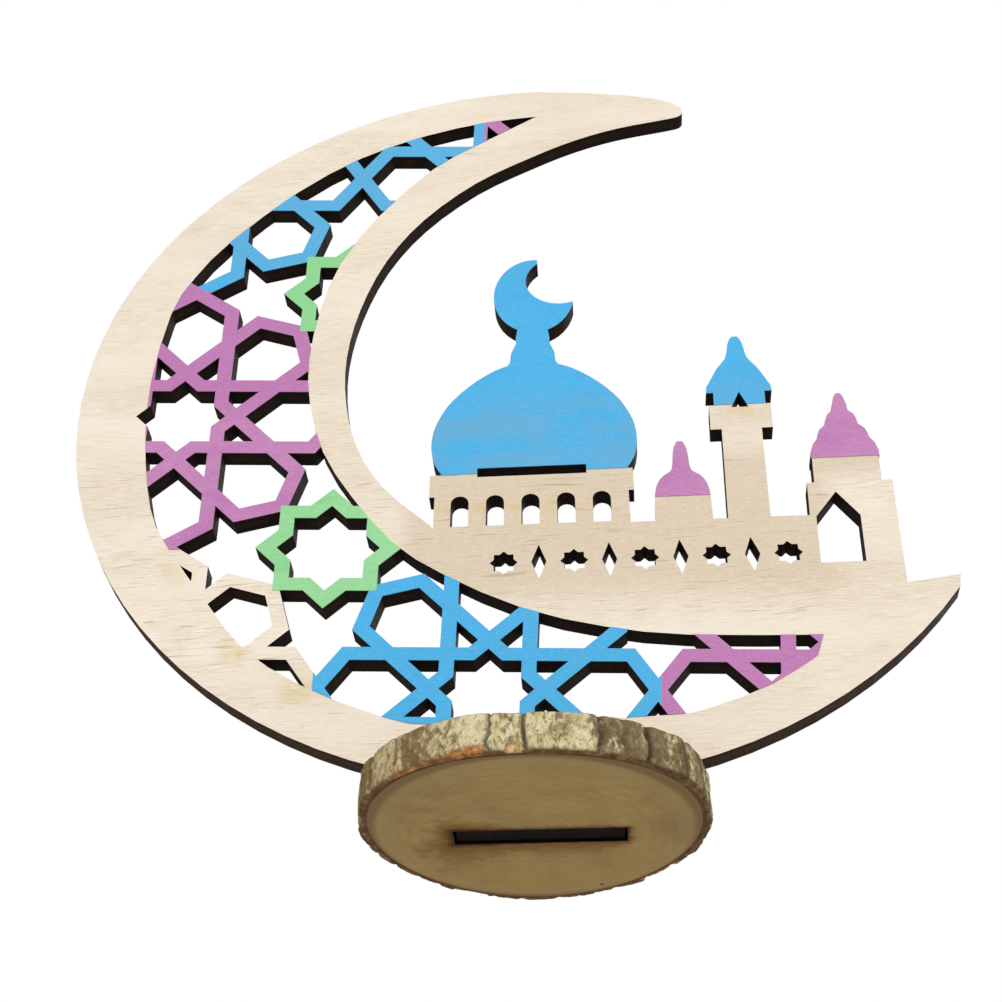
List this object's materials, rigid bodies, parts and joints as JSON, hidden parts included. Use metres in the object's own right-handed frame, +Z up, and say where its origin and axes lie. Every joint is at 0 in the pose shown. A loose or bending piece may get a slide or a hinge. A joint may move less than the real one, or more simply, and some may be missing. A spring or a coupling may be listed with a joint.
{
  "type": "crescent moon table ornament",
  "caption": "Wooden crescent ornament cut from plywood, with a pierced star lattice and a mosque skyline in flat printed colours, standing by its tab in a slotted slice of log.",
  "frame": {"origin": "middle of the whole object's bounding box in X and Y, on the plane it stands on", "axes": "+Z up, the way the ornament stands; +X towards the two tips of the crescent along the plate; -Y is the printed front face of the plate"},
  "size_m": [0.1288, 0.039, 0.15],
  "materials": {
    "face_veneer": "bare pale face veneer, fine horizontal grain",
    "core_veneer": "inner ply, charred where the laser cut it",
    "back_veneer": "bare pale back veneer",
    "blue_print": "thin matte ink film, grain showing",
    "purple_print": "thin matte ink film, grain showing",
    "green_print": "thin matte ink film, grain showing",
    "slice_wood": "sawn end grain, olive tan, scorched at the slot",
    "inner_bark": "red brown inner bark",
    "bark": "rough grey green bark with dark cracks"
  },
  "bodies": {
    "slice": {"slice_wood": "slice_wood", "slice_inner_bark": "inner_bark", "slice_bark": "bark"},
    "plate": {"front_veneer": "face_veneer", "back_veneer": "back_veneer", "core_dome": "core_veneer", "core_turret": "core_veneer", "core_minaret": "core_veneer", "core_gatehouse": "core_veneer", "core_upper_horn": "core_veneer", "core_upper_left": "core_veneer", "core_left": "core_veneer", "core_lower_left": "core_veneer", "core_foot": "core_veneer", "core_lower_horn": "core_veneer", "print_dome_blue": "blue_print", "print_turret_purple": "purple_print", "print_minaret_blue": "blue_print", "print_gatehouse_purple": "purple_print", "print_lattice_left_purple": "purple_print", "print_lattice_lower_blue": "blue_print", "print_lattice_lower_purple": "purple_print", "print_lattice_upper_blue": "blue_print", "print_lattice_tip_purple": "purple_print", "print_star_green_1": "green_print", "print_star_green_2": "green_print"}
  },
  "joints": [
    {"name": "plate_lift", "type": "slide", "parent": "slice", "child": "plate", "axis": [0, 0, 1], "range_m": [0, 0.012]}
  ]
}
